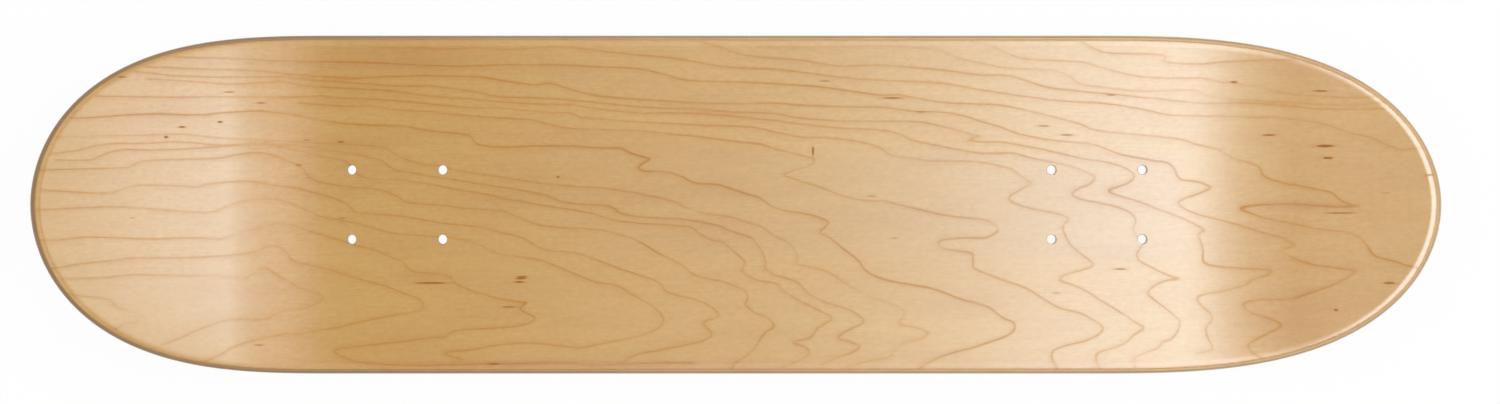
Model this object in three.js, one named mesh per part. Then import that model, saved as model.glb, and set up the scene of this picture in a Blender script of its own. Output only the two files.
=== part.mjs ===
// A skateboard deck: seven maple veneers pressed and glued into one curved board, drilled for two trucks.
// Millimetres and degrees. +X points to the nose, +Y to the left rail and +Z up. The origin lies midway
// between the trucks, on the underside, and the deck stands on its flat belly at z = 0.
import * as THREE from 'three';

// Plan of the deck, midway through its thickness: the rounded edges stand out a little further
const deckWidth = 200;
const noseReach = 184; // level, from the outer bolt row to the nose tip
const tailReach = 172.4;
const noseTaper = 188; // along the board, where the outline leaves the full width
const tailTaper = 214;
const outlineShoulderPower = 3.1; // how late the outline turns in from the rail
const outlineTipPower = 1.94; // how round the tip is

// Truck bolts
const wheelbase = 361.95; // between the two inner bolt rows
const boltPitchAlong = 53.975;
const boltPitchAcross = 41.275;
const boltHoleDiameter = 5.6;

// Laminate
const veneerThickness = 1.5;
const glueThickness = 0.1;
const edgeRadius = 5;

// Kicks and concave
const noseBendSetback = 6; // from the outer bolt row to the start of the bend
const noseBendRadius = 200;
const noseAngle = 20;
const tailBendSetback = 24;
const tailBendRadius = 200;
const tailAngle = 20;
const truckSeatMargin = 6.5; // flat wood beyond the bolt holes
const concaveDepth = 9; // how far the rails rise above the flat
const tipConcaveShare = 0.35; // of the concave that is left at the tips

// Fineness of the facets
const railSteps = 3;
const bendSteps = 4;
const kickSteps = 9;
const boltHoleSides = 12;
const edgeStepAngle = 25;
const tipFlatShare = 0.5; // of a tip's narrow rows that the middle facet takes

const radians = THREE.MathUtils.degToRad;
const halfWidth = deckWidth / 2;
const outerBoltRow = wheelbase / 2 + boltPitchAlong;
const flatHalfWidth = (boltPitchAcross + boltHoleDiameter) / 2 + truckSeatMargin;

// The laminate's layers from the underside up. The two cross bands have their grain across the deck.
const veneerNames = [
  'bottom_face_veneer',
  'bottom_core_veneer',
  'lower_crossband_veneer',
  'middle_core_veneer',
  'upper_crossband_veneer',
  'top_core_veneer',
  'top_face_veneer',
];
const laminateThickness =
  veneerNames.length * veneerThickness + (veneerNames.length - 1) * glueThickness;
const edgeRound = Math.min(edgeRadius, laminateThickness / 2);

const faceMaple = new THREE.MeshStandardMaterial({ color: 0xe2bf8e, roughness: 0.42, metalness: 0 });
const coreMaple = new THREE.MeshStandardMaterial({ color: 0xd9b581, roughness: 0.6, metalness: 0 });
const crossMaple = new THREE.MeshStandardMaterial({ color: 0xc49a66, roughness: 0.65, metalness: 0 });
const driedGlue = new THREE.MeshStandardMaterial({ color: 0x8a6238, roughness: 0.5, metalness: 0 });

// Concave: an arc from the edge of the flat to the rail, whose height at the rail is the concave's depth.
const railRun = halfWidth - flatHalfWidth;
const concaveRadius = (railRun ** 2 + concaveDepth ** 2) / (2 * concaveDepth);

// One kick. Its lengths run along the middle of the laminate's thickness, from the wheelbase's middle.
function kick(direction, reach, setback, bendRadius, angle, taper) {
  const bendFrom = outerBoltRow + setback;
  const bendTo = bendFrom + bendRadius * angle;
  const levelLeft = reach - setback - bendRadius * Math.sin(angle);
  const tip = bendTo + levelLeft / Math.cos(angle);
  return { direction, bendFrom, bendTo, bendRadius, tip, taper };
}

const nose = kick(1, noseReach, noseBendSetback, noseBendRadius, radians(noseAngle), noseTaper);
const tail = kick(-1, tailReach, tailBendSetback, tailBendRadius, radians(tailAngle), tailTaper);

// A point of the laminate: `along` from the wheelbase's middle towards that end's tip, `across` to the
// left rail, and `up` through the thickness from the underside. The centreline runs level, round the bend
// and straight up the kick. The concave lifts it along its normal, and the thickness follows the normal.
function deckPoint(end, along, across, up) {
  const bent = THREE.MathUtils.clamp(along, end.bendFrom, end.bendTo) - end.bendFrom;
  const tilt = bent / end.bendRadius;
  const beyond = Math.max(along - end.bendTo, 0);
  const run =
    Math.min(along, end.bendFrom) + end.bendRadius * Math.sin(tilt) + beyond * Math.cos(tilt);
  const climb = end.bendRadius * (1 - Math.cos(tilt)) + beyond * Math.sin(tilt);

  const rail = Math.max(Math.abs(across) - flatHalfWidth, 0);
  const fade = THREE.MathUtils.smoothstep(along, end.bendFrom, end.tip);
  const share = THREE.MathUtils.lerp(1, tipConcaveShare, fade);
  const drop = Math.sqrt(concaveRadius ** 2 - rail ** 2);
  const lift = share * (concaveRadius - drop);
  const roll = Math.atan((share * rail) / drop);

  const offset = up - laminateThickness / 2;
  const outward = lift + offset * Math.cos(roll);
  return new THREE.Vector3(
    end.direction * (run - outward * Math.sin(tilt)),
    across - Math.sign(across) * offset * Math.sin(roll),
    laminateThickness / 2 + climb + outward * Math.cos(tilt),
  );
}

// A point of the outline and the way it faces. `turn` runs from 0, where the rail leaves the full width,
// to a right angle at the tip: the outline is (s / taper)^shoulder + (y / halfWidth)^tip = 1.
function outlineAt(end, turn) {
  const s = Math.sin(turn) ** (2 / outlineShoulderPower);
  const y = Math.max(Math.cos(turn), 0) ** (2 / outlineTipPower);
  const facing = new THREE.Vector2(
    (outlineShoulderPower * s ** (outlineShoulderPower - 1)) / end.taper,
    (outlineTipPower * y ** (outlineTipPower - 1)) / halfWidth,
  ).normalize();
  return { end, along: end.tip + end.taper * (s - 1), width: halfWidth * y, facing };
}

function turnAt(end, along) {
  const s = Math.max((along - end.tip) / end.taper + 1, 0);
  return Math.asin(s ** (outlineShoulderPower / 2));
}

// Stations of one end: where the rail leaves the full width, along the bend, then round the outline.
function stationsOf(end) {
  const stations = [];
  if (end.tip - end.taper < end.bendFrom) stations.push(outlineAt(end, 0));
  for (let i = 0; i <= bendSteps; i++) {
    const along = THREE.MathUtils.lerp(end.bendFrom, end.bendTo, i / bendSteps);
    stations.push({ ...outlineAt(end, turnAt(end, along)), along });
  }
  const kickTurn = turnAt(end, end.bendTo);
  for (let i = 1; i <= kickSteps; i++) {
    stations.push(outlineAt(end, THREE.MathUtils.lerp(kickTurn, Math.PI / 2, i / kickSteps)));
  }
  return stations;
}

const stations = [...stationsOf(tail).reverse(), ...stationsOf(nose)];
const rowLength = 2 * railSteps + 2;

// How far round the edge's rounding a height lies: a right angle at the faces, 0 on the edge's flat.
function edgeAngle(up) {
  if (up < edgeRound) return Math.asin(1 - up / edgeRound);
  const under = Math.max(laminateThickness - up, 0);
  return under < edgeRound ? -Math.asin(1 - under / edgeRound) : 0;
}

// The places across one station, right rail to left, with the outline drawn in by the edge's rounding.
function rowAcross(station, inset) {
  const along = station.along - inset * station.facing.x;
  const edge = station.width - inset * station.facing.y;
  const flat = Math.min(flatHalfWidth, edge * tipFlatShare);
  const left = [];
  for (let i = 0; i <= railSteps; i++) left.push(THREE.MathUtils.lerp(flat, edge, i / railSteps));
  const right = left.map((across) => -across).reverse();
  return [...right, ...left].map((across) => ({ end: station.end, along, across }));
}

// The places of the bolt holes' sides, hole by hole.
function boltHoles() {
  const holes = [];
  for (const end of [tail, nose]) {
    for (const row of [wheelbase / 2, outerBoltRow]) {
      for (const line of [-boltPitchAcross / 2, boltPitchAcross / 2]) {
        const hole = [];
        for (let i = 0; i < boltHoleSides; i++) {
          const turn = (2 * Math.PI * i) / boltHoleSides;
          const along = row + (end.direction * boltHoleDiameter * Math.cos(turn)) / 2;
          hole.push({ end, along, across: line + (boltHoleDiameter * Math.sin(turn)) / 2 });
        }
        holes.push(hole);
      }
    }
  }
  return holes;
}

// Every place of one level of the laminate: tail tip, rows, nose tip, then the bolt holes.
function placesAt(up) {
  const inset = edgeRound * (1 - Math.cos(edgeAngle(up)));
  const rows = stations.map((station) => rowAcross(station, inset));
  const tailTip = { ...rows[0][0], across: 0 };
  const noseTip = { ...rows[rows.length - 1][0], across: 0 };
  return [tailTip, ...rows.slice(1, -1).flat(), noseTip, ...boltHoles().flat()];
}

// The numbers of those places that lie on the rim, anticlockwise from above, and round each hole.
const rowCount = stations.length - 2;
const numberOf = (row, column) => 1 + row * rowLength + column;
const noseTipNumber = 1 + rowCount * rowLength;
const allRows = [...Array(rowCount).keys()];
const rim = [
  0,
  ...allRows.map((row) => numberOf(row, 0)),
  noseTipNumber,
  ...allRows.map((row) => numberOf(row, rowLength - 1)).reverse(),
];
const holeRims = boltHoles().map((hole, n) => {
  const first = noseTipNumber + 1 + n * boltHoleSides;
  return hole.map((_, i) => first + i);
});

// The triangles of a level, facing up. The flat between the bends is one panel with the bolt holes in it.
function levelTriangles() {
  const triangles = [];
  const flatRows = allRows.filter((row) => {
    const { end, along } = stations[row + 1];
    return along <= end.bendFrom;
  });
  for (let column = 0; column < rowLength - 1; column++) {
    triangles.push([0, numberOf(0, column), numberOf(0, column + 1)]);
    const last = rowCount - 1;
    triangles.push([noseTipNumber, numberOf(last, column + 1), numberOf(last, column)]);
    for (let row = 0; row < rowCount - 1; row++) {
      if (column === railSteps && flatRows.includes(row) && flatRows.includes(row + 1)) continue;
      const corners = [numberOf(row, column), numberOf(row + 1, column)];
      const opposite = [numberOf(row + 1, column + 1), numberOf(row, column + 1)];
      triangles.push([...corners, opposite[0]], [corners[0], ...opposite]);
    }
  }
  const panelRim = [
    ...flatRows.map((row) => numberOf(row, railSteps)),
    ...flatRows.map((row) => numberOf(row, railSteps + 1)).reverse(),
  ];
  const places = placesAt(0);
  const inPlan = (n) => new THREE.Vector2(places[n].end.direction * places[n].along, places[n].across);
  const numbers = [...panelRim, ...holeRims.flat()];
  const panel = THREE.ShapeUtils.triangulateShape(
    panelRim.map(inPlan),
    holeRims.map((hole) => hole.map(inPlan)),
  );
  for (const face of panel) {
    const [a, b, c] = face.map((i) => inPlan(numbers[i]));
    const facesUp = b.clone().sub(a).cross(c.clone().sub(a)) > 0;
    triangles.push((facesUp ? face : face.slice().reverse()).map((i) => numbers[i]));
  }
  return triangles;
}

const capTriangles = levelTriangles();

// Heights at which a layer's edge is cut, close enough to follow the rounding.
function wallHeights(low, high) {
  const from = edgeAngle(low);
  const to = edgeAngle(high);
  const steps = Math.max(1, Math.ceil((from - to) / radians(edgeStepAngle)));
  const heights = [low];
  for (let i = 1; i < steps; i++) {
    const angle = THREE.MathUtils.lerp(from, to, i / steps);
    const height = edgeRound * (1 - Math.sin(Math.abs(angle)));
    heights.push(angle > 0 ? height : laminateThickness - height);
  }
  return [...heights, high];
}

// One layer of the laminate between two heights: both faces, the rounded edge and the bolt holes' walls.
function layerGeometry(low, high) {
  const points = [];
  const faces = [];
  const addLevel = (up, keep) => {
    const first = points.length;
    const places = placesAt(up);
    const kept = keep ?? places.map((_, i) => i);
    kept.forEach((i) => points.push(deckPoint(places[i].end, places[i].along, places[i].across, up)));
    return first;
  };
  const addWall = (lower, upper) => {
    lower.forEach((corner, i) => {
      const next = (i + 1) % lower.length;
      faces.push([corner, lower[next], upper[next]], [corner, upper[next], upper[i]]);
    });
  };

  const heights = wallHeights(low, high);
  const floor = addLevel(low);
  const ceiling = addLevel(high);
  const rims = heights.map((up, i) => {
    if (i === 0) return rim.map((n) => floor + n);
    if (i === heights.length - 1) return rim.map((n) => ceiling + n);
    const first = addLevel(up, rim);
    return rim.map((_, n) => first + n);
  });
  capTriangles.forEach(([a, b, c]) => {
    faces.push([floor + a, floor + c, floor + b], [ceiling + a, ceiling + b, ceiling + c]);
  });
  for (let i = 1; i < rims.length; i++) addWall(rims[i - 1], rims[i]);
  holeRims.forEach((hole) => {
    const upper = hole.map((n) => ceiling + n);
    addWall(upper, hole.map((n) => floor + n));
  });

  const geometry = new THREE.BufferGeometry().setFromPoints(points);
  geometry.setIndex(faces.flat());
  geometry.computeVertexNormals();
  return geometry;
}

function layerMesh(name, low, high, material) {
  const mesh = new THREE.Mesh(layerGeometry(low, high), material);
  mesh.name = name;
  return mesh;
}

function veneerMaterial(name) {
  if (name.includes('face')) return faceMaple;
  return name.includes('crossband') ? crossMaple : coreMaple;
}

const deck = new THREE.Group();
deck.name = 'skateboard_deck';
veneerNames.forEach((name, i) => {
  const low = i * (veneerThickness + glueThickness);
  const high = low + veneerThickness;
  deck.add(layerMesh(name, low, high, veneerMaterial(name)));
  if (i < veneerNames.length - 1) {
    deck.add(layerMesh(`glue_film_${i + 1}`, high, high + glueThickness, driedGlue));
  }
});

export default deck;
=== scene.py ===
# A bare maple skateboard deck, seen from above. Metres; +X to the nose, +Y to the left rail, +Z up.
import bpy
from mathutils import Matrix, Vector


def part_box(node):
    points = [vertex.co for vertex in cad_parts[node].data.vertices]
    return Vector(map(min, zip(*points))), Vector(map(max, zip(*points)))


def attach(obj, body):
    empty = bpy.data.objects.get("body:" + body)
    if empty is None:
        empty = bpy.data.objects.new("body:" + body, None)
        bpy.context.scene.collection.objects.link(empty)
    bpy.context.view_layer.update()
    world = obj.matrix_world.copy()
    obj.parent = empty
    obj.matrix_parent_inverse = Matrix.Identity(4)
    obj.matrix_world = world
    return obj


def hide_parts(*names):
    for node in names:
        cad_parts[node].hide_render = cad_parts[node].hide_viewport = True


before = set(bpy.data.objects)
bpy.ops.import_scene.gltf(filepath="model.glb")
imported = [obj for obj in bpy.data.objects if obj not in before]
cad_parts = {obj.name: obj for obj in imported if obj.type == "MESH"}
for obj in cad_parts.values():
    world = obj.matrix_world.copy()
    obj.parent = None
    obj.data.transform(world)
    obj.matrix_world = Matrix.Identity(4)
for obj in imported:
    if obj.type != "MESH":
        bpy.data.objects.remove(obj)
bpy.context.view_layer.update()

from types import SimpleNamespace

import bpy
import numpy as np
from mathutils import Vector
from mathutils.kdtree import KDTree

# Bottom face veneer
# The first sheet laid in the press: rotary-cut maple 1.5 mm thick, grain along the deck. The press bends
# the whole stack into its kicks and concave; once the glue has cured the board is cut out, drilled for
# the trucks, rounded over round its edge, sanded and sprayed with clear lacquer.
mm = 0.001
DECK_WIDTH = 200 * mm  # the outline of every ply, before the edge is rounded
NOSE_REACH = 184 * mm  # level, from the outer bolt row to the tip
TAIL_REACH = 172.4 * mm
NOSE_TAPER = 188 * mm  # where the outline leaves the full width, along the board from the tip
TAIL_TAPER = 214 * mm
SHOULDER_POWER = 3.1  # how square the outline's curve is where it leaves the full width
TIP_POWER = 1.94  # and at the tip
WHEELBASE = 361.95 * mm  # between the inner bolt rows
BOLT_PITCH_ALONG = 53.975 * mm
BOLT_PITCH_ACROSS = 41.275 * mm
BOLT_HOLE_RADIUS = 2.8 * mm
BOLT_HOLE_CHAMFER = 0.25 * mm
BOLT_SQUARE = 12 * mm  # the patch of mesh round each hole
TRUCK_SEAT_MARGIN = 6.5 * mm  # level, outside the bolt holes, before the concave begins
NOSE_BEND_SETBACK = 6 * mm  # from the outer bolt row to the bend
NOSE_BEND_RADIUS = 200 * mm
TAIL_BEND_SETBACK = 24 * mm
TAIL_BEND_RADIUS = 200 * mm
KICK_ANGLE = np.radians(20)
CONCAVE_DEPTH = 9 * mm
TIP_CONCAVE_SHARE = 0.35  # of the concave that is left at the tips
EDGE_RADIUS = 5 * mm

VENEERS = [
    "bottom_face_veneer",
    "bottom_core_veneer",
    "lower_crossband_veneer",
    "middle_core_veneer",
    "upper_crossband_veneer",
    "top_core_veneer",
    "top_face_veneer",
]
VENEER_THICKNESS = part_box("glue_film_1")[0].z
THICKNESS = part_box("top_face_veneer")[0].z + VENEER_THICKNESS

HALF_WIDTH = DECK_WIDTH / 2
OUTER_BOLT_ROW = WHEELBASE / 2 + BOLT_PITCH_ALONG
FLAT_HALF_WIDTH = BOLT_PITCH_ACROSS / 2 + BOLT_HOLE_RADIUS + TRUCK_SEAT_MARGIN
RAIL_RUN = HALF_WIDTH - FLAT_HALF_WIDTH
CONCAVE_RADIUS = (RAIL_RUN**2 + CONCAVE_DEPTH**2) / (2 * CONCAVE_DEPTH)


def kick(direction, reach, setback, bend_radius, taper):
    """One end: where its bend starts and stops and where its tip is, along the middle of the thickness."""
    bend_from = OUTER_BOLT_ROW + setback
    bend_to = bend_from + bend_radius * KICK_ANGLE
    level_left = reach - setback - bend_radius * np.sin(KICK_ANGLE)
    return SimpleNamespace(
        direction=direction,
        bend_from=bend_from,
        bend_to=bend_to,
        bend_radius=bend_radius,
        tip=bend_to + level_left / np.cos(KICK_ANGLE),
        taper=taper,
    )


NOSE = kick(1, NOSE_REACH, NOSE_BEND_SETBACK, NOSE_BEND_RADIUS, NOSE_TAPER)
TAIL = kick(-1, TAIL_REACH, TAIL_BEND_SETBACK, TAIL_BEND_RADIUS, TAIL_TAPER)


def of_end(place, name):
    """The nose's value where the place lies towards the nose, the tail's where it doesn't."""
    return np.where(place > 0, getattr(NOSE, name), getattr(TAIL, name))


def deck_point(place, across, up):
    """A point of the laminate: place along the middle of its thickness, across it, and up through it.

    The centreline is level, then an arc, then straight up the kick. The concave lifts the point along the
    centreline's normal by the height of an arc, which fades towards the tip as 3f^2 - 2f^3. The thickness
    follows the normal of that arc."""
    along = np.abs(place)
    bend_from, bend_radius, tip = (of_end(place, n) for n in ("bend_from", "bend_radius", "tip"))
    bend_to = of_end(place, "bend_to")
    tilt = (np.clip(along, bend_from, bend_to) - bend_from) / bend_radius
    beyond = np.maximum(along - bend_to, 0)
    run = np.minimum(along, bend_from) + bend_radius * np.sin(tilt) + beyond * np.cos(tilt)
    climb = bend_radius * (1 - np.cos(tilt)) + beyond * np.sin(tilt)

    rail = np.maximum(np.abs(across) - FLAT_HALF_WIDTH, 0)
    fade = np.clip((along - bend_from) / (tip - bend_from), 0, 1)
    share = 1 + (TIP_CONCAVE_SHARE - 1) * fade**2 * (3 - 2 * fade)
    drop = np.sqrt(CONCAVE_RADIUS**2 - rail**2)
    lift = share * (CONCAVE_RADIUS - drop)
    roll = np.arctan(share * rail / drop)

    offset = up - THICKNESS / 2
    outward = lift + offset * np.cos(roll)
    x = np.sign(place) * (run - outward * np.sin(tilt))
    y = across - np.sign(across) * offset * np.sin(roll)
    return np.stack([x, y, THICKNESS / 2 + climb + outward * np.cos(tilt)], axis=-1)


def outline(end, turn):
    """The rim at a turn from 0, at the full width, to a right angle at the tip: how far along, how far
    out, and which way it faces. It is (s / taper)^shoulder + (y / half width)^tip = 1."""
    s = np.sin(turn) ** (2 / SHOULDER_POWER)
    y = np.maximum(np.cos(turn), 0) ** (2 / TIP_POWER)
    facing_along = SHOULDER_POWER * s ** (SHOULDER_POWER - 1) / end.taper
    facing_out = TIP_POWER * y ** (TIP_POWER - 1) / HALF_WIDTH
    length = np.hypot(facing_along, facing_out)
    along = end.tip + end.taper * (s - 1)
    return along, HALF_WIDTH * y, facing_along / length, facing_out / length


def steps(stops, pitches):
    """Even steps from stop to stop: as many as a pitch says where it is a whole number, otherwise enough
    to keep each within the pitch."""
    marks = [np.array([stops[0]])]
    for start, stop, pitch in zip(stops, stops[1:], pitches):
        cells = pitch if isinstance(pitch, int) else max(1, int(np.ceil((stop - start) / pitch)))
        marks.append(np.linspace(start, stop, cells + 1)[1:])
    return np.concatenate(marks)


HOLE_CELLS = 8  # of the mesh, along each side of a bolt hole's square
RIM_SAMPLES = 4000  # places at which the length of a rim is measured


def end_rows(end, pitch):
    """Rows of one end: level steps as far as the bolt holes' squares, then even steps round the rim."""
    half = BOLT_SQUARE / 2
    stops = [0, WHEELBASE / 2 - half, WHEELBASE / 2 + half, OUTER_BOLT_ROW - half, OUTER_BOLT_ROW + half]
    level = steps(stops, [pitch, HOLE_CELLS, pitch, HOLE_CELLS])
    ratio = np.maximum((level - end.tip) / end.taper + 1, 0)
    level_turn = np.arcsin(ratio ** (SHOULDER_POWER / 2))
    turn = np.linspace(level_turn[-1], np.pi / 2, RIM_SAMPLES)
    along, out, _, _ = outline(end, turn)
    length = np.concatenate([[0], np.cumsum(np.hypot(np.diff(along), np.diff(out)))])
    marks = np.linspace(0, length[-1], int(length[-1] / pitch) + 1)[1:-1]
    rim_turn = np.interp(marks, length, turn)
    _, out, facing_along, facing_out = outline(end, np.concatenate([level_turn, rim_turn]))
    along = np.concatenate([level, outline(end, rim_turn)[0]])
    return np.stack([end.direction * along, out, end.direction * facing_along, facing_out])


def deck_rows(pitch):
    """Rows from tail to nose, without the tips: place, half width, and which way the rim faces there."""
    return np.concatenate([end_rows(TAIL, pitch)[:, :0:-1], end_rows(NOSE, pitch)], axis=1)


def drawn_in(up):
    """How far the rounded edge is drawn in from the outline at a height of the laminate."""
    depth = np.clip(1 - np.minimum(up, THICKNESS - up) / EDGE_RADIUS, 0, 1)
    return EDGE_RADIUS * (1 - np.sqrt(1 - depth**2))


TIP_FLAT_SHARE = 0.5  # of the half width near the tips, for the columns that are level elsewhere
HOLE_RING_SHARES = (0.4, 0.75, 1)  # of the way from a hole's square to its circle


def cap(rows, inset, pitch, hole_radius):
    """One face of a ply in plan: a grid of rows and columns with a fan to each tip, and in it a square of
    cells round each bolt hole that gives way to rings, which turn from the square to the hole's circle."""
    place, out, facing_along, facing_out = rows
    place = place - inset * facing_along
    edge = out - inset * facing_out
    half = BOLT_SQUARE / 2
    line = BOLT_PITCH_ACROSS / 2
    inner = steps([0, line - half, line + half, FLAT_HALF_WIDTH], [pitch, HOLE_CELLS, pitch])
    share = steps([0, 1], [pitch / (HALF_WIDTH - FLAT_HALF_WIDTH)])[1:]
    flat = np.minimum(FLAT_HALF_WIDTH, edge * TIP_FLAT_SHARE)[:, None]
    left = np.hstack([inner[1:] * flat / FLAT_HALF_WIDTH, flat + share * (edge[:, None] - flat)])
    across = np.hstack([-left[:, ::-1], np.zeros_like(flat), left])
    row_count, column_count = across.shape
    number = 1 + np.arange(row_count * column_count).reshape(row_count, column_count)
    nose_tip = row_count * column_count + 1
    plan = [np.stack([np.repeat(place, column_count), across.ravel()], axis=1)]

    keep = np.ones((row_count - 1, column_count - 1), bool)
    rings, holes = [], []
    first = nose_tip + 1
    middle = column_count // 2
    for row in (-OUTER_BOLT_ROW, -WHEELBASE / 2, WHEELBASE / 2, OUTER_BOLT_ROW):
        for side in (-1, 1):
            r = int(np.argmin(np.abs(place - (row - half))))
            c = middle + int(np.argmin(np.abs(across[r, middle:] - (line - half))))
            c = c if side > 0 else column_count - 1 - c - HOLE_CELLS
            keep[r : r + HOLE_CELLS, c : c + HOLE_CELLS] = False
            square = number[r : r + HOLE_CELLS + 1, c : c + HOLE_CELLS + 1]
            loop = np.concatenate([square[-1, :-1], square[:0:-1, -1], square[0, :0:-1], square[:-1, 0]])
            angle = -np.pi / 4 + np.arange(loop.size) * 2 * np.pi / loop.size
            round_hole = np.stack([np.cos(angle), np.sin(angle)], axis=1) * hole_radius
            circle = np.array([row, side * line]) + round_hole
            corner = plan[0][loop - 1]
            for ring_share in HOLE_RING_SHARES:
                plan.append(corner + ring_share * (circle - corner))
                ring = first + np.arange(loop.size)
                rings.append(ribbon(loop, ring))
                loop, first = ring, first + loop.size
            holes.append(loop)

    grid = [number[:-1, :-1], number[1:, :-1], number[1:, 1:], number[:-1, 1:]]
    quads = np.stack([corner[keep] for corner in grid], axis=1)
    tail_fan = np.stack([np.zeros(column_count - 1, int), number[0, :-1], number[0, 1:]], axis=1)
    nose_fan = np.stack([np.full(column_count - 1, nose_tip), number[-1, 1:], number[-1, :-1]], axis=1)
    tips = [[-TAIL.tip + inset, 0]], [[NOSE.tip - inset, 0]]
    plan = np.concatenate([tips[0], plan[0], tips[1], *plan[1:]])
    rim = np.concatenate([[0], number[:, 0], [nose_tip], number[::-1, -1]])
    return plan, np.concatenate([quads, *rings]), np.concatenate([tail_fan, nose_fan]), rim, holes


def ribbon(outer, inner):
    """Quads between two closed loops of points, which face up where the outer one runs anticlockwise."""
    return np.stack([outer, np.roll(outer, -1), np.roll(inner, -1), inner], axis=1)


EDGE_STEP = np.radians(5)  # of the rounding, between two rows of the mesh


def edge_heights(low, high):
    """Heights at which a ply's edge is cut, at even turns of its rounding."""
    ups = np.array([low, high])
    below, above = (np.arcsin(np.clip(1 - depth / EDGE_RADIUS, 0, 1)) for depth in (ups, THICKNESS - ups))
    start, stop = below - above
    angle = np.linspace(start, stop, max(1, int(np.ceil((start - stop) / EDGE_STEP))) + 1)[1:-1]
    height = EDGE_RADIUS * (1 - np.sin(np.abs(angle)))
    return [low, *np.where(angle > 0, height, THICKNESS - height), high]


def ply(name, low, high, row_pitch, upper_pitch, under_pitch, chamfers=(0, 0)):
    """A closed mesh of one layer between two heights of the laminate: its two caps, the wall round its
    rim in steps of the rounding, and the walls of the bolt holes, with a chamfer on an outer face."""
    rows = deck_rows(row_pitch)
    under = cap(rows, drawn_in(low), under_pitch, BOLT_HOLE_RADIUS + chamfers[0])
    upper = cap(rows, drawn_in(high), upper_pitch, BOLT_HOLE_RADIUS + chamfers[1])
    plans = [under[0], upper[0]]
    ups = [np.full(len(under[0]), low), np.full(len(upper[0]), high)]
    shift = len(under[0])
    quads = [under[1][:, ::-1], upper[1] + shift]
    fans = [under[2][:, ::-1], upper[2] + shift]
    first = shift + len(upper[0])

    loop = under[3]
    place, out, facing_along, facing_out = rows
    for up in edge_heights(low, high)[1:]:
        if up == high:
            following = upper[3] + shift
        else:
            inset = drawn_in(up)
            side = np.stack([place - inset * facing_along, out - inset * facing_out], axis=1)
            tips = [[-TAIL.tip + inset, 0]], [[NOSE.tip - inset, 0]]
            plans.append(np.concatenate([tips[0], side * [1, -1], tips[1], side[::-1]]))
            ups.append(np.full(len(loop), up))
            following = first + np.arange(len(loop))
            first += len(loop)
        quads.append(ribbon(loop, following))
        loop = following

    for under_hole, upper_hole in zip(under[4], upper[4]):
        loop = upper_hole + shift
        for chamfer, up in ((chamfers[1], high - chamfers[1]), (chamfers[0], low + chamfers[0])):
            if chamfer:
                centre = under[0][under_hole].mean(axis=0)
                arm = under[0][under_hole] - centre
                plans.append(centre + arm * BOLT_HOLE_RADIUS / np.hypot(*arm.T)[:, None])
                ups.append(np.full(len(loop), up))
                following = first + np.arange(len(loop))
                first += len(loop)
                quads.append(ribbon(loop, following))
                loop = following
        quads.append(ribbon(loop, under_hole))

    plan, up = np.concatenate(plans), np.concatenate(ups)
    return mesh_object(name, plan, up, np.concatenate(quads), np.concatenate(fans), (low, high))


SHARP_ANGLE = np.radians(30)  # past which two faces of the mesh meet in a hard edge
END_GRAIN_POWER = 3


def mesh_object(name, plan, up, quads, triangles, span):
    """A mesh of points of the laminate, without the points that no face uses. It keeps each point's share
    of the layer's height, how far the rounding has turned there, in radians, and how far the rim near it
    shows the end grain of a lengthwise ply, as a power of the share of the taper that lies behind it."""
    used = np.zeros(len(plan), bool)
    used[quads] = True
    used[triangles] = True
    number = np.cumsum(used) - 1
    plan, up = plan[used], up[used]
    points = deck_point(plan[:, 0], plan[:, 1], up)
    mesh = bpy.data.meshes.new(name)
    mesh.from_pydata(points, [], [*number[quads].tolist(), *number[triangles].tolist()])
    mesh.shade_smooth()
    mesh.set_sharp_from_angle(angle=SHARP_ANGLE)
    piece = bpy.data.objects.new(name, mesh)
    bpy.context.scene.collection.objects.link(piece)
    store(piece, "edge_height", (up - span[0]) / (span[1] - span[0]))
    depth = np.minimum(up, THICKNESS - up)
    store(piece, "edge_turn", np.arccos(1 - np.clip(depth / EDGE_RADIUS, 0, 1)))
    taper = of_end(plan[:, 0], "taper")
    behind = np.abs(plan[:, 0]) - of_end(plan[:, 0], "tip") + taper
    store(piece, "tip_turn", np.clip(behind / taper, 0, 1) ** END_GRAIN_POWER)
    return piece


def store(piece, name, values):
    """Keeps one number, or one vector, for each point of a piece."""
    kind, key = ("FLOAT_VECTOR", "vector") if np.ndim(values) > 1 else ("FLOAT", "value")
    attribute = piece.data.attributes.new(name, kind, "POINT")
    attribute.data.foreach_set(key, np.ascontiguousarray(values, np.float32).ravel())


def points_of(piece):
    """The piece's points as rows of x, y and z."""
    flat = np.empty(3 * len(piece.data.vertices), np.float32)
    piece.data.vertices.foreach_get("co", flat)
    return flat.reshape(-1, 3).astype(float)


def paint(red, green, blue):
    """A colour given as it shows, 0 to 255, as the linear colour that a shader takes: a straight piece
    near black and a power of 2.4 above it."""
    shown = np.array([red, green, blue]) / 255
    linear = np.where(shown > 0.04045, ((shown + 0.055) / 1.055) ** 2.4, shown / 12.92)
    return (*linear.tolist(), 1.0)


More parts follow.
